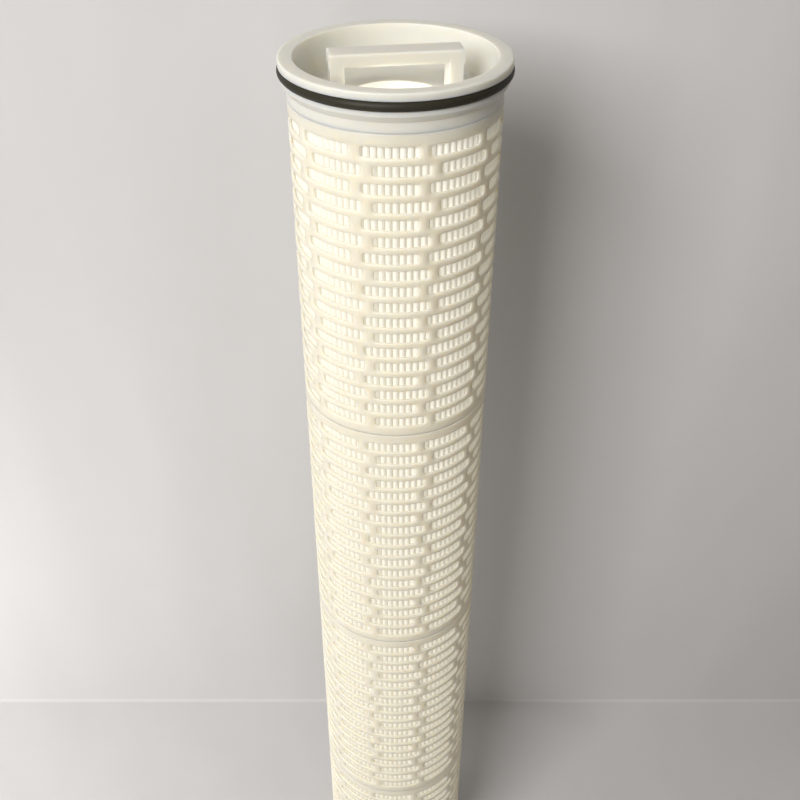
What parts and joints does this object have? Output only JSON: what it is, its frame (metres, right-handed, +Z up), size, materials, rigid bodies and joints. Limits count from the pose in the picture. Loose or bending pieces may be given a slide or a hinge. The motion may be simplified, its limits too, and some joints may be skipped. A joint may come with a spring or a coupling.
{
  "type": "pleated filter cartridge",
  "caption": "Tall cylindrical pleated filter cartridge with a slotted cage, a sealing ring round its open top cap and a carrying handle across the cup.",
  "frame": {"origin": "centre of the foot, where the cartridge stands", "axes": "+Z up the axis to the open end, +X along the handle"},
  "size_m": [0.1636, 0.1636, 1.029],
  "materials": {
    "cap_plastic": "smooth moulded polypropylene, faint satin sheen",
    "cage_plastic": "moulded polypropylene, slightly translucent",
    "core_plastic": "moulded polypropylene",
    "seal_rubber": "black moulded elastomer",
    "support_web": "spunbonded polypropylene web",
    "filter_web": "meltblown polypropylene web"
  },
  "bodies": {
    "root": {"top_end_cap": "cap_plastic", "seal_ring": "seal_rubber", "bottom_end_cap": "cap_plastic", "outer_cage_1": "cage_plastic", "outer_cage_2": "cage_plastic", "outer_cage_3": "cage_plastic", "outer_cage_4": "cage_plastic", "inner_core_1": "core_plastic", "inner_core_2": "core_plastic", "inner_core_3": "core_plastic", "inner_core_4": "core_plastic", "outer_support_layer": "support_web", "filter_medium": "filter_web", "inner_support_layer": "support_web"}
  },
  "joints": []
}
